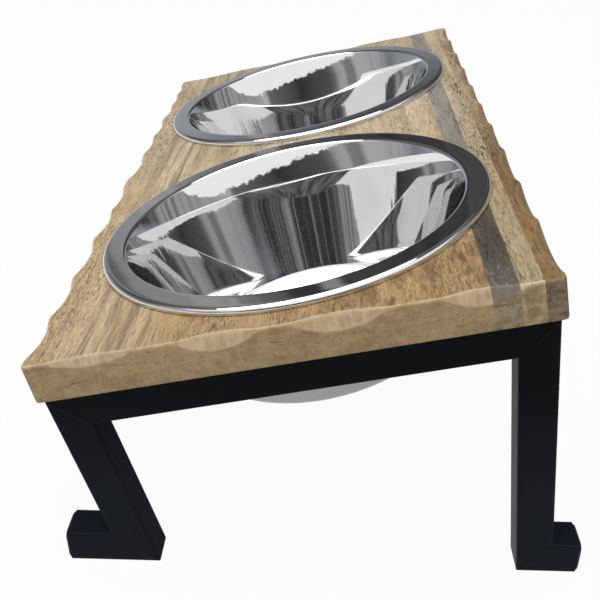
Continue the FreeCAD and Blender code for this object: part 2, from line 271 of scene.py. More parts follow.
def insetPoint(spot, inset):
    # nearest point of the same outline drawn smaller
    corner = max(board["corner"] - inset, 0)
    half = Vector((board["length"] / 2, board["width"] / 2))
    core = Vector([max(-(h - inset - corner), min(h - inset - corner, s)) for s, h in zip(spot, half)])
    away = spot - core
    return core + away.normalized() * corner if away.length > 1e-9 else core


def scoopDepth(name, s):
    # the mean of a few near places, which rounds the ridges between scoops
    total = 0.0
    for shift in board["ridgeShifts"]:
        depth = 0.0
        for centre, length, deep in board.get(name, []) if name else []:
            part = (s / mm + shift - centre) / (length / 2)
            if abs(part) < 1:
                depth = max(depth, deep * (1 - part ** 2) ** board["scoopPower"])
        total += depth
    return total / len(board["ridgeShifts"])


def edgeSection(depth, reach):
    # inset and drop of each point from the flat top, over the carved facet, down to the underside
    eased, border, thick, soft = board["eased"], board["border"], board["thick"], board["soft"]
    across = max(eased, reach[0] * mm * depth)
    down = max(eased, reach[1] * mm * depth)
    facet = Vector((-across, down))
    lead = facet.normalized() * soft
    worn = soft + board["rubbed"]
    outer, inner = board["flatRows"]
    section = [(border, 0), (outer, 0), (inner, 0), (across + worn, 0), (across + soft, 0),
               (across + lead.x, lead.y), (across * 0.66, down * 0.34), (across * 0.33, down * 0.67),
               (-lead.x, down - lead.y), (0, down + soft), (0, down + worn)]
    section += [(0, down + worn + (thick - eased - down - worn) * share) for share in (0.3, 0.65, 1)]
    section += [(0.2 * eased, thick - 0.2 * eased), (eased, thick), (border, thick)]
    return section


def boardMesh():
    mesh = bmesh.new()
    carved = mesh.verts.layers.float.new("carved")
    worn = mesh.verts.layers.float.new("worn")
    rows = []
    for spot, name, s in boardOutline():
        depth = scoopDepth(name, s)
        section = edgeSection(depth, board["reach"][name])
        row = []
        for i, (inset, drop) in enumerate(section):
            flat = insetPoint(spot, inset)
            vert = mesh.verts.new((flat.x, flat.y, board["thick"] - drop))
            vert[carved] = min(1.0, depth * 4) if i in range(5, 9) else 0.0
            vert[worn] = 1.0 if i in (4, 5) else 0.45 if i in (8, 9) else 0.0
            row.append(vert)
        rows.append(row)
    for first, second in zip(rows, rows[1:] + rows[:1]):
        for i in range(len(first) - 1):
            mesh.faces.new((first[i], first[i + 1], second[i + 1], second[i]))
    bmesh.ops.remove_doubles(mesh, verts=mesh.verts, dist=1e-6)
    bmesh.ops.dissolve_degenerate(mesh, edges=mesh.edges, dist=1e-7)
    for sign in (-1, 1):
        radius, eased, thick = board["holeRadius"], board["eased"], board["thick"]
        levels = [(radius + eased, thick), (radius + 0.2 * eased, thick - 0.2 * eased), (radius, thick - eased),
                  (radius, eased), (radius + 0.2 * eased, 0.2 * eased), (radius + eased, 0)]
        rings = []
        for r, w in levels:
            turns = [2 * math.pi * i / board["holeSides"] for i in range(board["holeSides"])]
            rings.append([mesh.verts.new((sign * board["holeX"] + r * math.cos(a), r * math.sin(a), w))
                          for a in turns])
        joinRings(mesh, rings)
    for level in (0, board["thick"]):
        rim = [e for e in mesh.edges if e.is_boundary and all(abs(v.co.z - level) < 1e-6 for v in e.verts)]
        bmesh.ops.triangle_fill(mesh, edges=rim, use_beauty=True, normal=(0, 0, 1))
    bmesh.ops.recalc_face_normals(mesh, faces=mesh.faces)
    return mesh


def cutStave(whole, low, high):
    stave = whole.copy()
    for level, upward in ((low * mm, True), (high * mm, False)):
        if abs(level) > board["width"] / 2 - 1e-5:
            continue
        geometry = stave.verts[:] + stave.edges[:] + stave.faces[:]
        cut = bmesh.ops.bisect_plane(stave, geom=geometry, dist=1e-7, plane_co=(0, level, 0), plane_no=(0, 1, 0),
                                     clear_inner=upward, clear_outer=not upward)
        seam = [e for e in cut["geom_cut"] if isinstance(e, bmesh.types.BMEdge) and e.is_boundary]
        bmesh.ops.triangle_fill(stave, edges=seam, use_beauty=True, normal=(0, 1, 0))
    bmesh.ops.recalc_face_normals(stave, faces=stave.faces)
    return stave


# the far colours of each stave are lighter and greyer, a painted sheen for the far end of the top
woods = {
    "board_main": {
        "pale": (0.66, 0.52, 0.33), "deep": (0.45, 0.32, 0.175), "far": (0.60, 0.495, 0.35),
        "farDeepSheen": (0.43, 0.325, 0.20), "grey": (0.225, 0.185, 0.125),
        "brown": (0.20, 0.10, 0.035), "warm": (0.33, 0.208, 0.09), "gold": (0.41, 0.28, 0.10),
        "fleck": (0.085, 0.047, 0.02), "dust": (0.12, 0.075, 0.036), "flecks": 0.8, "patches": 0.95,
        "end": (0.31, 0.21, 0.102), "endPale": (0.43, 0.31, 0.162), "fresh": (0.55, 0.425, 0.28), "seed": 3.0},
    "board_dark_strip": {
        "pale": (0.165, 0.147, 0.115), "deep": (0.033, 0.027, 0.020), "far": (0.38, 0.345, 0.30),
        "farDeepSheen": (0.20, 0.18, 0.155), "grey": (0.13, 0.12, 0.105),
        "brown": (0.075, 0.045, 0.025), "warm": (0.078, 0.063, 0.046), "gold": (0.12, 0.09, 0.05),
        "fleck": (0.016, 0.012, 0.009), "dust": (0.18, 0.17, 0.147), "flecks": 0.9, "patches": 0.5,
        "end": (0.125, 0.102, 0.064), "endPale": (0.35, 0.275, 0.165), "fresh": (0.22, 0.19, 0.16), "seed": 11.0},
    "board_light_strip": {
        "pale": (0.52, 0.425, 0.275), "deep": (0.355, 0.27, 0.152), "far": (0.57, 0.465, 0.32),
        "farDeepSheen": (0.42, 0.325, 0.205), "grey": (0.32, 0.265, 0.18),
        "brown": (0.30, 0.18, 0.075), "warm": (0.39, 0.31, 0.185), "gold": (0.42, 0.32, 0.15),
        "fleck": (0.05, 0.033, 0.017), "dust": (0.08, 0.055, 0.03), "flecks": 1.0, "patches": 0.35,
        "end": (0.26, 0.19, 0.094), "endPale": (0.55, 0.41, 0.22), "fresh": (0.70, 0.585, 0.42), "seed": 23.0},
    "board_edge_strip": {
        "pale": (0.32, 0.206, 0.09), "deep": (0.135, 0.074, 0.026), "far": (0.50, 0.395, 0.26),
        "farDeepSheen": (0.36, 0.27, 0.165), "grey": (0.25, 0.195, 0.13),
        "brown": (0.19, 0.10, 0.038), "warm": (0.25, 0.155, 0.062), "gold": (0.30, 0.18, 0.06),
        "fleck": (0.04, 0.023, 0.011), "dust": (0.07, 0.042, 0.02), "flecks": 1.0, "patches": 0.6,
        "end": (0.092, 0.066, 0.044), "endPale": (0.28, 0.202, 0.128), "fresh": (0.235, 0.145, 0.064), "seed": 37.0},
}

# noise patterns: scale along, across and through the top in turns per metre, detail, roughness, distortion
grain = {
    "sway": ((5, 9, 5), 2),
    "broad": ((2.4, 24, 24), 3, 0.6),
    "streak": ((6, 150, 100), 5, 0.65),
    "fine": ((70, 1000, 700), 3, 0.65),
    "figure": ((60, 130, 120), 4, 0.7),
    "patch": ((13, 55, 50), 4, 0.65),
    "blot": ((34, 95, 70), 3, 0.6),
    "gold": ((9, 34, 30), 3, 0.6),
    "knot": ((48, 170, 110), 2, 0.5),
    "pore": ((240, 1250, 900), 2, 0.5),
    "vessel": ((120, 760, 600), 2, 0.5),
    "worm": ((230, 640, 560), 2, 0.5),
    "dense": ((14, 60, 60), 3),
    "thread": ((14, 820, 600), 3, 0.6),
    "planed": ((60, 330, 70), 4, 0.65),
    "rings": ((2, 34, 90), 4, 0.6, 0.8),
    "mottle": ((20, 160, 160), 4, 0.7),
    "dots": ((200, 700, 700), 3, 0.6),
    "layers": ((2, 26, 240), 4, 0.65, 0.4),
    "crack": ((3, 70, 420), 2, 0.5),
    "grit": ((90, 400, 400), 4, 0.75),
}


def woodMaterial(name, look):
    material, root = newMaterial(name)
    coords = root.add("ShaderNodeTexCoord", None, None, "Object")
    spot = root.add("ShaderNodeMapping", {"vector_type": "TEXTURE"}, {
        "Vector": coords, "Location": tuple(boardOrigin), "Rotation": (board["tilt"], 0, 0)})
    place = root.add("ShaderNodeVectorMath", {"operation": "ADD"}, {0: spot, 1: (look["seed"], 0, 0)})
    alongTop, acrossTop, _ = spot.axes()
    sway = place.noise(*grain["sway"]) - 0.5
    along, across, height = place.axes()
    bent = root.add("ShaderNodeCombineXYZ", None, {0: along, 1: across + sway * 0.014, 2: height})
    broad = bent.noise(*grain["broad"])
    streak = bent.noise(*grain["streak"])
    fine = bent.noise(*grain["fine"])
    figure = bent.noise(*grain["figure"])
    patch = bent.noise(*grain["patch"])
    # painted sheen: towards the far end the colours turn lighter and greyer, standing in for the gloss seen there
    nearEnd = (alongTop + (patch - 0.5) * 0.16).ease(-0.06, 0.16)
    colour = nearEnd.mix(look["far"], look["pale"])
    deep = nearEnd.mix(look["farDeepSheen"], look["deep"])
    colour = (broad.ease(0.36, 0.66) * 0.8).mix(colour, deep)
    colour = (streak.ease(0.48, 0.70) * 0.6).mix(colour, deep)
    # weathered streaks near the front edge and between the bowls, brown stains near the back
    frontBand = acrossTop.ease(-0.118, -0.1) * acrossTop.ease(-0.072, -0.05, 1, 0)
    weather = streak.ease(0.42, 0.6) * (frontBand * 0.75 + 0.1) + patch.ease(0.56, 0.72) * 0.35
    colour = weather.calc("MINIMUM", 0.8).mix(colour, look["grey"])
    stain = patch.ease(0.53, 0.68) * alongTop.ease(0.06, 0.18) * acrossTop.ease(0.0, 0.06)
    blot = bent.noise(*grain["blot"]).ease(0.47, 0.60) * alongTop.ease(0.1, 0.2) * acrossTop.ease(0.01, 0.05)
    warm = alongTop.ease(0.06, 0.22) * acrossTop.ease(-0.095, -0.04) * (0.62 + broad * 0.5)
    colour = warm.mix(colour, look["warm"])
    gold = place.noise(*grain["gold"]).ease(0.48, 0.64) * alongTop.ease(-0.05, 0.1)
    colour = (gold * 0.42).mix(colour, look["gold"])
    colour = (stain.calc("MAXIMUM", blot) * look["patches"]).mix(colour, look["brown"])
    knot = bent.noise(*grain["knot"]).ease(0.62, 0.72) * alongTop.ease(0.1, 0.17) * acrossTop.ease(0.0, 0.05)
    colour = (knot * 0.75).mix(colour, [c * 0.55 for c in look["brown"]])
    colour = (figure.ease(0.42, 0.66) * 0.4).mix(colour, deep)
    colour = (fine.ease(0.44, 0.68) * 0.38).mix(colour, look["fleck"])
    # open pores: short dark dashes along the grain, long ones in clusters
    pore = bent.noise(*grain["pore"]).ease(0.54, 0.63)
    vessel = bent.noise(*grain["vessel"]).ease(0.57, 0.66)
    worm = (bent.noise(*grain["worm"]) - 0.5).calc("ABSOLUTE").ease(0.012, 0.05, 1, 0)
    dense = bent.noise(*grain["dense"]).ease(0.36, 0.60)
    dash = (pore * 0.8).calc("MAXIMUM", vessel).calc("MAXIMUM", worm * 0.62) * (dense * 0.7 + 0.3)
    thread = bent.noise(*grain["thread"]).ease(0.53, 0.66) * frontBand
    dash = (dash * (1 - frontBand * 0.4)).calc("MAXIMUM", thread * 0.6)
    facing = root.add("ShaderNodeTexCoord", None, None, "Normal")
    sideways = facing.axes()[0].calc("ABSOLUTE").ease(0.6, 0.88)
    carved = root.add("ShaderNodeAttribute", {"attribute_name": "carved"}, None, "Fac")
    worn = root.add("ShaderNodeAttribute", {"attribute_name": "worn"}, None, "Fac")
    planed = place.noise(*grain["planed"]).ease(0.34, 0.66)
    # painted shade: the long side faces, away from the carved facets, are pulled towards the darker end colour
    flankShade = facing.axes()[1].calc("ABSOLUTE").ease(0.84, 0.97) * (1 - carved)
    colour = (flankShade * (0.4 + broad * 0.3)).mix(colour, look["end"])
    colour = (carved * (0.4 + planed * 0.45)).mix(colour, look["fresh"])
    filled = patch.ease(0.44, 0.56).mix(look["dust"], look["fleck"])
    colour = (dash * look["flecks"] * (1 - sideways) * (1 - carved * 0.35)).mix(colour, filled)
    # end grain: growth rings seen across, mottling and fine dots
    rings = place.noise(*grain["rings"])
    mottle = place.noise(*grain["mottle"])
    dots = place.noise(*grain["dots"])
    layers = place.noise(*grain["layers"])
    crack = place.noise(*grain["crack"]).ease(0.71, 0.76)
    grit = place.noise(*grain["grit"])
    endColour = (rings.ease(0.36, 0.62) * 0.6 + mottle.ease(0.42, 0.62) * 0.6).mix(look["end"], look["endPale"])
    endColour = (layers.ease(0.5, 0.70) * 0.3).mix(endColour, [c * 0.62 for c in look["end"]])
    endColour = (grit.ease(0.52, 0.7) * 0.5).mix(endColour, [c * 0.5 for c in look["end"]])
    endColour = (grit.ease(0.3, 0.46, 1, 0) * 0.45).mix(endColour, look["endPale"])
    endColour = (dots.ease(0.5, 0.72) * 0.32 + crack * 0.6).mix(endColour, [c * 0.35 for c in look["end"]])
    colour = (sideways * (1 - carved * (0.62 + planed * 0.28))).mix(colour, endColour)
    colour = (worn * (mottle.ease(0.3, 0.6) * 0.5 + 0.15)).mix(colour, [c * 1.12 for c in look["fresh"]])
    roughness = 0.5 + streak * 0.16 + dash * 0.2 + sideways * 0.12
    relief = streak * 0.4 + fine * 0.35 + mottle * sideways * 0.5 - dash * (1 - sideways) * 1.1
    closeMaterial(root, {"Base Color": colour, "Roughness": roughness, "Specular IOR Level": 0.3}, relief, 0.0003, 0.6)
    return material


whole = boardMesh()
for node, (low, high) in board["staves"].items():
    stave = asObject(cutStave(whole, low, high), "top_" + node, boardPlace)
    finish = woodMaterial(node.replace("board", "wood"), woods[node])
    paint(stave, finish)
    paint(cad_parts[node], finish)
    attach(stave, "stand")
    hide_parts(node)
whole.free()
print("wooden top carved:", len(board["staves"]), "staves")


# The steel bowls
bowl = {
    # in millimetres and degrees, heights from the wood's upper face
    "rim": 117.3, "flange": 4.18, "roll": 2.9, "rollTurn": 112, "sheet": 1.0,
    "lean": 13.4, "depth": 84.5, "baseBend": 5.0,
    "mouth": 103.3, "mouthBend": 2.3, "mouthShare": 0.55, "flare": 26.0, "flareRadius": 90.0,
    "segments": 240,
    "steps": {"base": 12, "baseBend": 16, "wall": 24, "flare": 30, "mouth": 12, "flange": 6, "roll": 18},
    "outsideFrom": 0.58,          # share of the profile after which it is the dull outer face
    # the outside colour is darker partly for its dull finish and partly as painted shade on the underside
    "bright": (0.80, 0.80, 0.805), "hazy": (0.75, 0.755, 0.765), "outside": (0.31, 0.312, 0.318), "metallic": 0.985,
}


def bend(start, heading, radius, turn, count):
    # an arc from start, turning by an angle in degrees (left is positive)
    side = math.copysign(1, turn)
    points = []
    for i in range(1, count + 1):
        a = math.radians(turn) * i / count
        ahead = Vector((math.cos(heading), math.sin(heading)))
        left = Vector((-ahead.y, ahead.x)) * side
        points.append(start + ahead * radius * math.sin(abs(a)) + left * radius * (1 - math.cos(a)))
    return points, heading + math.radians(turn)


def bowlWall():
    # from the foot of the lower wall up to the flange, starting at the axis
    lean, steps = bowl["lean"], bowl["steps"]
    rise = math.radians(90 - lean)
    line, _ = bend(Vector((0, bowl["sheet"] - bowl["depth"])), 0, bowl["baseBend"], 90 - lean, steps["baseBend"])
    # the wall flares towards the mouth
    flared, leaving = bend(Vector((0, 0)), rise, bowl["flareRadius"], lean - bowl["flare"], steps["flare"])
    mouth, _ = bend(flared[-1], leaving, bowl["mouthBend"], bowl["flare"] - 90, steps["mouth"])
    straight = (bowl["flange"] - line[-1].y - mouth[-1].y) / math.sin(rise)
    foot, ahead = line[-1], Vector((math.cos(rise), math.sin(rise)))
    line += [foot + ahead * straight * i / steps["wall"] for i in range(1, steps["wall"] + 1)]
    top = line[-1]
    return line + [top + spot for spot in flared + mouth]


def bowlProfile():
    # the inner face from the axis out to the rolled edge, then the outer face back to the axis
    wall, steps = bowlWall(), bowl["steps"]
    flat = bowl["mouth"] + bowl["mouthBend"] * bowl["mouthShare"] - wall[-1].x
    inner = [Vector((flat * i / steps["base"], bowl["sheet"] - bowl["depth"])) for i in range(steps["base"] + 1)]
    inner += [spot + Vector((flat, 0)) for spot in wall]
    first, edge = inner[-1].x, bowl["rim"] - bowl["roll"]
    inner += [Vector((first + (edge - first) * i / steps["flange"], bowl["flange"]))
              for i in range(1, steps["flange"] + 1)]
    arc, _ = bend(inner[-1], 0, bowl["roll"], -bowl["rollTurn"], steps["roll"])
    inner += arc
    outer = []
    for i, point in enumerate(inner):
        before, after = inner[max(i - 1, 0)], inner[min(i + 1, len(inner) - 1)]
        ahead = (after - before).normalized()
        outer.append(point + Vector((ahead.y, -ahead.x)) * bowl["sheet"])
    outer[0].x = 0
    print("bowl base is flat to", round(flat, 1), "mm")
    return inner + outer[::-1]


def latheTree(count):
    tree, root, given = newTree("spunBowl", {
        "Profile": "Object", "Segments": "Int", "Tilt": "Float", "Place": "Vector", "Finish": "Material"})
    grid = root.add("GeometryNodeMeshGrid", None, {
        "Size X": 1.0, "Size Y": 1.0, "Vertices X": count, "Vertices Y": given.other("Segments") + 1})
    spot = root.add("GeometryNodeInputPosition").axes()
    index = ((spot[0] + 0.5) * (count - 1)).calc("ROUND")
    turn = (spot[1] + 0.5) * (2 * math.pi)
    # marked while the grid is still flat
    grid = root.add("GeometryNodeStoreNamedAttribute", {"data_type": "FLOAT", "domain": "POINT"}, {
        "Geometry": grid, "Name": "outside", "Value": index.calc("GREATER_THAN", count * bowl["outsideFrom"])})
    line = root.add("GeometryNodeObjectInfo", None, {"Object": given.other("Profile")}, "Geometry")
    sample = root.add("GeometryNodeSampleIndex", {"data_type": "FLOAT_VECTOR"}, {
        "Geometry": line, "Value": root.add("GeometryNodeInputPosition"), "Index": index})
    reach, _, level = sample.axes()
    spun = root.add("ShaderNodeCombineXYZ", None, {
        0: reach * turn.calc("COSINE"), 1: reach * turn.calc("SINE"), 2: level})
    shell = root.add("GeometryNodeSetPosition", None, {"Geometry": grid, "Position": spun})
    shell = root.add("GeometryNodeMergeByDistance", None, {"Geometry": shell, "Distance": 1e-6})
    turned = root.add("ShaderNodeCombineXYZ", None, {0: given.other("Tilt")})
    shell = root.add("GeometryNodeTransform", None, {
        "Geometry": shell, "Translation": given.other("Place"), "Rotation": turned})
    shell = root.add("GeometryNodeRealizeInstances", None, {"Geometry": shell})
    shell = root.add("GeometryNodeSetMaterial", None, {"Geometry": shell, "Material": given.other("Finish")})
    root.add("NodeGroupOutput", None, {"Geometry": shell})
    return tree


def steelMaterial(name):
    material, root = newMaterial(name)
    place = root.add("ShaderNodeTexCoord", None, None, "Object")
    smear = place.noise((24, 24, 24), 4, 0.6)
    scuff = place.noise((420, 420, 60), 3, 0.7)
    haze = smear.ease(0.45, 0.75)
    outside = root.add("ShaderNodeAttribute", {"attribute_name": "outside"}, None, "Fac")
    tint = haze.mix(bowl["bright"], bowl["hazy"])
    # the outer face's dark tint is partly its dull finish and partly painted shade on the underside below the board
    tint = outside.mix(tint, bowl["outside"])
    roughness = 0.025 + haze * 0.035 + scuff.ease(0.62, 0.8) * 0.04 + outside * 0.2
    ripple = place.noise((38, 38, 22), 1, 0.4)
    closeMaterial(root, {"Base Color": tint, "Metallic": bowl["metallic"], "Roughness": roughness}, ripple, 0.0004, 0.05)
    return material


profilePoints = bowlProfile()
profileObject = pathObject("bowlProfile", [[(spot.x * mm, 0, spot.y * mm) for spot in profilePoints]])
steel = steelMaterial("polished_steel")
spunBowl = latheTree(len(profilePoints))
for end, sign in (("left", -1), ("right", 1)):
    seat = boardPlace @ Vector((sign * board["holeX"], 0, board["thick"]))
    made = runTree(spunBowl, {"Profile": profileObject, "Segments": bowl["segments"], "Tilt": board["tilt"],
                              "Place": tuple(seat), "Finish": steel}, "spun_bowl_" + end, 50)
    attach(made, "bowl_" + end)
    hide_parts("bowl_" + end)
bpy.data.objects.remove(profileObject)
print("bowls spun:", len(profilePoints), "rings")


# The black end frames
coat = {
    # the last colour is the painted shade on the legs under the wooden top
    "colour": (0.0068, 0.009, 0.0138), "worn": (0.012, 0.0142, 0.0185), "underTopShade": (0.0012, 0.0014, 0.0019),
    "underTopShadeFrom": (0.06, 0.15),   # metres from the floor over which the painted shade under the top comes in
    "roughness": 0.36, "backRoughness": 0.32,
}


def coatMaterial(name):
    material, root = newMaterial(name)
    place = root.add("ShaderNodeTexCoord", None, None, "Object")
    peel = place.noise((900, 900, 900), 2, 0.5)
    cloud = place.noise((30, 30, 30), 4, 0.6)
    dust = place.noise((260, 260, 260), 5, 0.7)
    height = place.axes()[2]
    colour = (cloud.ease(0.4, 0.8) * 0.5 + dust.ease(0.6, 0.8) * 0.4).mix(coat["colour"], coat["worn"])
    # painted shade: darker and less varied high up under the wooden top
    colour = ((height + cloud * 0.03).ease(*coat["underTopShadeFrom"]) * 0.8).mix(colour, coat["underTopShade"])
    toBack = root.add("ShaderNodeTexCoord", None, None, "Normal").axes()[1].ease(0.4, 0.9)
    roughness = coat["roughness"] + cloud * 0.12 + dust * 0.06 + toBack * coat["backRoughness"]
    closeMaterial(root, {"Base Color": colour, "Roughness": roughness, "Specular IOR Level": 0.05}, peel, 0.00006, 0.4)
    return material


def capMaterial(name):
    material, root = newMaterial(name)
    place = root.add("ShaderNodeTexCoord", None, None, "Object")
    stipple = place.noise((1500, 1500, 1500), 3, 0.6)
    cloud = place.noise((60, 60, 60), 3, 0.6)
    colour = cloud.ease(0.35, 0.75).mix((0.004, 0.0045, 0.0055), (0.009, 0.0095, 0.011))
    roughness = 0.45 + cloud * 0.15
    inputs = {"Base Color": colour, "Roughness": roughness, "Specular IOR Level": 0.2}
    closeMaterial(root, inputs, stipple, 0.00005, 0.5)
    return material


def screwMaterial(name):
    material, root = newMaterial(name)
    place = root.add("ShaderNodeTexCoord", None, None, "Object")
    cloud = place.noise((500, 500, 500), 3, 0.6)
    colour = cloud.ease(0.35, 0.7).mix((0.62, 0.62, 0.60), (0.48, 0.47, 0.43))
    closeMaterial(root, {"Base Color": colour, "Metallic": 1.0, "Roughness": 0.28 + cloud * 0.2}, cloud, 0.00005, 0.3)
    return material


caps = {
    # in millimetres; half widths of the flange and of the stem inside the tube
    "flange": 2.0, "plug": 9.0, "half": 9.98, "stem": 8.25, "lead": (0.8, 0.6),
    "corner": 3.6, "cornerShare": 0.38,
    # the rounded outer face: distance out from the tube's end, inset
    "dome": [(0, 0), (0.5, 0.06), (1.0, 0.35), (1.45, 0.9), (1.8, 1.75), (1.99, 3.0)],
}


def roundedSquare(half, corner, count=6):
    spots = []
    for turn, (sx, sy) in enumerate(((1, 1), (-1, 1), (-1, -1), (1, -1))):
        for i in range(count + 1):
            a = math.radians(90 * (turn + i / count))
            spots.append(((half - corner) * sx + corner * math.cos(a), (half - corner) * sy + corner * math.sin(a)))
    return spots


def makeCap(node, finish):
    # drawn along Z from the tube's end, then turned to point along the foot
    length, taper = caps["lead"]
    levels = [(-caps["plug"], caps["stem"] - taper), (-caps["plug"] + length, caps["stem"]), (0, caps["stem"])]
    levels += [(out, caps["half"] - inset) for out, inset in caps["dome"]]
    mesh = bmesh.new()
    rings = []
    for out, half in levels:
        corner = min(caps["corner"], half * caps["cornerShare"])
        rings.append([mesh.verts.new((x * mm, y * mm, out * mm)) for x, y in roundedSquare(half, corner)])
    joinRings(mesh, rings)
    mesh.faces.new(rings[0][::-1])
    mesh.faces.new(rings[-1])
    bmesh.ops.recalc_face_normals(mesh, faces=mesh.faces)
    low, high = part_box(node)
    outward = -1 if "front" in node else 1
    end = (low + high) / 2
    end.y = (high.y if outward > 0 else low.y) - outward * caps["flange"] * mm
    turn = Matrix.Rotation(math.radians(-90 * outward), 4, "X")
    cap = asObject(mesh, node.replace("foot_cap", "end_plug"), Matrix.Translation(end) @ turn)
    paint(cap, finish)
    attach(cap, "stand")
    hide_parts(node)


welds = {
    "spacing": 0.9 * mm, "width": 1.5 * mm, "height": 0.14 * mm, "sizes": (0.7, 1.15), "seed": 5,
    "faces": (232 * mm, 252 * mm),
    # each mitre from its outer to its inner corner, across and up in millimetres; the first two on the sloping rail
    "rail": [((-126.28, -2.6), (-110.77, -17.4)), ((126.14, -2.6), (109.84, -17.4))],
    "foot": [((-92.07, 2.6), (-111.23, 17.4)), ((114.57, 2.6), (127.78, 17.4))],
}


def weldTree():
    tree, root, given = newTree("weldSeams", {
        "Path": "Object", "Spacing": "Float", "Width": "Float", "Height": "Float", "Seed": "Int", "Finish": "Material"})
    line = root.add("GeometryNodeObjectInfo", None, {"Object": given.other("Path")}, "Geometry")
    line = root.add("GeometryNodeResampleCurve", {"mode": "LENGTH"}, {"Curve": line, "Length": given.other("Spacing")})
    bead = root.add("GeometryNodeMeshIcoSphere", None, {"Radius": 1.0, "Subdivisions": 2})
    jitter = root.add("FunctionNodeRandomValue", {"data_type": "FLOAT"}, {
        2: welds["sizes"][0], 3: welds["sizes"][1], "Seed": given.other("Seed")}, 1)
    size = root.add("ShaderNodeCombineXYZ", None, {
        0: given.other("Height") * jitter, 1: given.other("Width") * jitter, 2: given.other("Width") * jitter})
    beads = root.add("GeometryNodeInstanceOnPoints", None, {"Points": line, "Instance": bead, "Scale": size})
    beads = root.add("GeometryNodeRealizeInstances", None, {"Geometry": beads})
    beads = root.add("GeometryNodeSetMaterial", None, {"Geometry": beads, "Material": given.other("Finish")})
    root.add("NodeGroupOutput", None, {"Geometry": beads})
    return tree


def makeWelds(finish):
    lines = []
    for kind in ("rail", "foot"):
        for ends in welds[kind]:
            for x in [side * face for side in (-1, 1) for face in welds["faces"]]:
                spots = [Vector((x, y * mm, z * mm)) for y, z in ends]
                if kind == "rail":
                    spots = [boardPlace @ spot for spot in spots]
                lines.append(spots)
    path = pathObject("weldPath", lines)
    values = {"Path": path, "Spacing": welds["spacing"], "Width": welds["width"], "Height": welds["height"],
              "Seed": welds["seed"], "Finish": finish}
    seams = runTree(weldTree(), values, "corner_welds", 60)
    bpy.data.objects.remove(path)
    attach(seams, "stand")


finishes = {"rail": coatMaterial("black_powder_coat"), "foot_cap": capMaterial("moulded_black"),
            "rail_screws": screwMaterial("zinc_plate")}
for name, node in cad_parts.items():
    if name == "rail_screws":
        paint(node, finishes["rail_screws"])
    elif name.startswith("foot_cap"):
        paint(node, finishes["foot_cap"])
    elif name.startswith(("rail", "leg", "foot")):
        paint(node, finishes["rail"])
    elif name.startswith("bowl"):
        paint(node, steel)
makeWelds(finishes["rail"])
for name in [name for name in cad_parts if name.startswith("foot_cap")]:
    makeCap(name, finishes["foot_cap"])
print("frames coated")


# Floor, surroundings, light and camera
studio = {
    "floorSize": 30.0, "floorColour": (0.6, 0.6, 0.6),
    "floorGlow": 0.95,            # share of white that the camera and the steel see
    "cameraPlace": (0.59315, 0.00591, 0.36913), "cameraAhead": (-0.86656, -0.03615, -0.49777),
    "cameraRight": (-0.03907, 0.99923, -0.00455), "lens": 50.912, "sensor": 36, "clipStart": 0.01,
    "skyLight": 0.48, "boxPower": 80.0, "boxSize": 3.2, "boxPlace": (0.4, -0.4, 2.6),
    "ringRadius": 4.0, "ringHeight": 6.0, "ringLift": 0.01,
    "skyline": 1.75, "farRise": 3.1,   # metres up, and how much more behind the stand
    "posts": (0.012, 0.013, 0.015), "slats": (0.34, 0.34, 0.32), "slatShift": 9,
    "lowWall": (0.34, 0.36, 0.39), "lowWallTop": (0.9, 1.55),
    "awningPlace": (-1.2, -1.0, 3.0), "awningSize": (2.7, 3.2),
    "awningDark": (0.035, 0.037, 0.04), "awningPale": (0.2, 0.2, 0.19),
    # what the steel mirrors: degrees round the stand from the camera's side, and how bright
    "bands": [(-180, 0.03), (-164, 0.04), (-157, 0.26), (-140, 0.2), (-136, 0.06), (-117, 0.06), (-114, 0.14),
              (-105, 0.13), (-103, 0.08), (-96, 0.10), (-92, 0.42), (-58, 0.44), (-54, 0.2), (-46, 0.22),
              (-43, 0.4), (-36, 0.34), (-32, 0.16), (-26, 0.08), (-5, 0.05), (8, 0.025), (16, 0.06), (32, 0.10),
              (46, 0.14), (49, 0.46), (62, 0.36), (114, 0.34), (119, 0.12), (138, 0.15), (141, 0.045), (157, 0.035),
              (160, 0.07), (178, 0.05)],
}


def seenDirectly(root):
    # 1 for camera rays and for what steel or glass would show, 0 for light that only falls on things
    path = root.add("ShaderNodeLightPath")
    return path.calc("ADD", path.other("Is Glossy Ray")).calc("ADD", path.other("Is Transmission Ray"), clamp=True)


def mirrorOnly(obj):
    for flag in ("visible_camera", "visible_diffuse", "visible_shadow", "visible_volume_scatter"):
        setattr(obj, flag, False)


def floorMaterial(name):
    material, root = newMaterial(name)
    place = root.add("ShaderNodeTexCoord", None, None, "Object")
    cloud = place.noise((6, 6, 6), 3)
    colour = cloud.ease(0.3, 0.7).mix(studio["floorColour"], [c * 0.985 for c in studio["floorColour"]])
    matt = root.add("ShaderNodeBsdfDiffuse", None, {"Color": colour})
    glow = root.add("ShaderNodeEmission", None, {"Color": (1, 1, 1, 1), "Strength": 1.0})
    surface = root.add("ShaderNodeMixShader", None, {0: seenDirectly(root) * studio["floorGlow"], 1: matt, 2: glow})
    root.add("ShaderNodeOutputMaterial", None, {"Surface": surface})
    return material


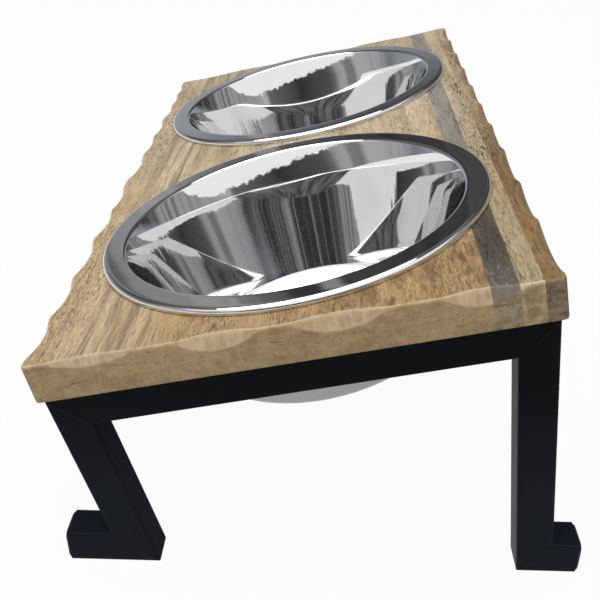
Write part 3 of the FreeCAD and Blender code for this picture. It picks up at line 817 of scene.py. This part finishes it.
def ringMaterial(name):
    material, root = newMaterial(name)
    place = root.add("ShaderNodeTexCoord", None, None, "Object")
    x, y, z = place.axes()
    turn = y.calc("ARCTAN2", x) / (2 * math.pi) + 0.5
    stops = [((a + 180) / 360, (g, g, g * 1.02)) for a, g in studio["bands"]]
    shade = root.add("ShaderNodeValToRGB", {"stops": stops}, {"Fac": turn}, "Color")
    rough = place.noise((1.6, 1.6, 1.2), 5, 0.6)
    leaves = place.noise((8, 8, 9), 4, 0.7)
    far = (x / studio["ringRadius"] * -1).ease(-0.6, 0.7)
    post = root.add("ShaderNodeCombineXYZ", None, {0: x, 1: y}).noise((2.6, 2.6, 1), 2, 0.5)
    shade = (post.ease(0.47, 0.55) * far * 0.75).mix(shade, studio["posts"])
    slat = root.add("ShaderNodeCombineXYZ", None, {0: x + studio["slatShift"], 1: y}).noise((1.8, 1.8, 1), 2, 0.6)
    shade = (slat.ease(0.57, 0.62) * far * 0.7).mix(shade, studio["slats"])
    shade = (z.ease(*studio["lowWallTop"], 1, 0) * far * 0.9).mix(shade, studio["lowWall"])
    skyline = studio["skyline"] + far * studio["farRise"] + (rough - 0.5) * 1.0 + (leaves - 0.5) * 0.7
    above = (z - skyline).ease(-0.05, 0.05)
    dark = root.add("ShaderNodeEmission", None, {"Color": shade, "Strength": 1.0})
    clear = root.add("ShaderNodeBsdfTransparent")
    surface = root.add("ShaderNodeMixShader", None, {0: above, 1: dark, 2: clear})
    root.add("ShaderNodeOutputMaterial", None, {"Surface": surface})
    return material


def makeFloor():
    mesh = bmesh.new()
    bmesh.ops.create_grid(mesh, x_segments=8, y_segments=8, size=studio["floorSize"] / 2)
    floor = asObject(mesh, "floor")
    paint(floor, floorMaterial("pale_floor"))
    floor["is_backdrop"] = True


def makeRing():
    mesh = bmesh.new()
    ring = bmesh.ops.create_cone(mesh, cap_ends=False, segments=96, radius1=studio["ringRadius"],
                                 radius2=studio["ringRadius"], depth=studio["ringHeight"])
    bmesh.ops.translate(mesh, verts=ring["verts"], vec=(0, 0, studio["ringHeight"] / 2 + studio["ringLift"]))
    surround = asObject(mesh, "surround")
    paint(surround, ringMaterial("surround_shade"))
    mirrorOnly(surround)
    surround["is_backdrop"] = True


def awningMaterial(name):
    material, root = newMaterial(name)
    place = root.add("ShaderNodeTexCoord", None, None, "Object")
    x, y, _ = place.axes()
    folds = root.add("ShaderNodeCombineXYZ", None, {0: x * 0.2, 1: y}).noise((2.5, 2.5, 1), 2, 0.6)
    shade = folds.ease(0.35, 0.65).mix(studio["awningDark"], studio["awningPale"])
    glow = root.add("ShaderNodeEmission", None, {"Color": shade, "Strength": 1.0})
    root.add("ShaderNodeOutputMaterial", None, {"Surface": glow})
    return material


def makeAwning():
    mesh = bmesh.new()
    disc = bmesh.ops.create_circle(mesh, cap_ends=True, segments=64, radius=1.0)
    bmesh.ops.scale(mesh, verts=disc["verts"], vec=(*studio["awningSize"], 1))
    bmesh.ops.translate(mesh, verts=disc["verts"], vec=studio["awningPlace"])
    awning = asObject(mesh, "awning")
    paint(awning, awningMaterial("awning_shade"))
    mirrorOnly(awning)
    awning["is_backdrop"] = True


def makeWorld():
    world = bpy.data.worlds.new("studio")
    scene.world = world
    world.use_nodes = True
    world.node_tree.nodes.clear()
    root = Wire(world.node_tree)
    up = root.add("ShaderNodeTexCoord", None, None, "Generated").axes()[2]
    grey = up.ease(-0.2, 0.9).mix((0.72, 0.74, 0.78), (1.0, 1.0, 1.0))
    light = root.add("ShaderNodeBackground", None, {"Color": grey, "Strength": studio["skyLight"]})
    white = root.add("ShaderNodeBackground", None, {"Color": (1, 1, 1, 1), "Strength": 1.0})
    surface = root.add("ShaderNodeMixShader", None, {0: seenDirectly(root), 1: light, 2: white})
    root.add("ShaderNodeOutputWorld", None, {"Surface": surface})


def makeLight():
    data = bpy.data.lights.new("softbox", "AREA")
    data.shape = "DISK"
    data.size = studio["boxSize"]
    data.energy = studio["boxPower"]
    lamp = bpy.data.objects.new("softbox", data)
    lamp.location = studio["boxPlace"]
    lamp.rotation_euler = (-Vector(studio["boxPlace"])).to_track_quat("-Z", "Y").to_euler()
    scene.collection.objects.link(lamp)


def makeCamera():
    data = bpy.data.cameras.new("camera")
    data.lens = studio["lens"]
    data.sensor_width = studio["sensor"]
    data.sensor_fit = "HORIZONTAL"
    data.clip_start = studio["clipStart"]
    camera = bpy.data.objects.new("camera", data)
    right, ahead = Vector(studio["cameraRight"]).normalized(), Vector(studio["cameraAhead"]).normalized()
    turn = Matrix((right, right.cross(ahead), -ahead)).transposed()
    camera.matrix_world = Matrix.Translation(studio["cameraPlace"]) @ turn.to_4x4()
    scene.collection.objects.link(camera)
    scene.camera = camera


makeFloor()
makeRing()
makeAwning()
makeWorld()
makeLight()
makeCamera()
scene.view_settings.view_transform = "Standard"
print("stage set")

low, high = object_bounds()
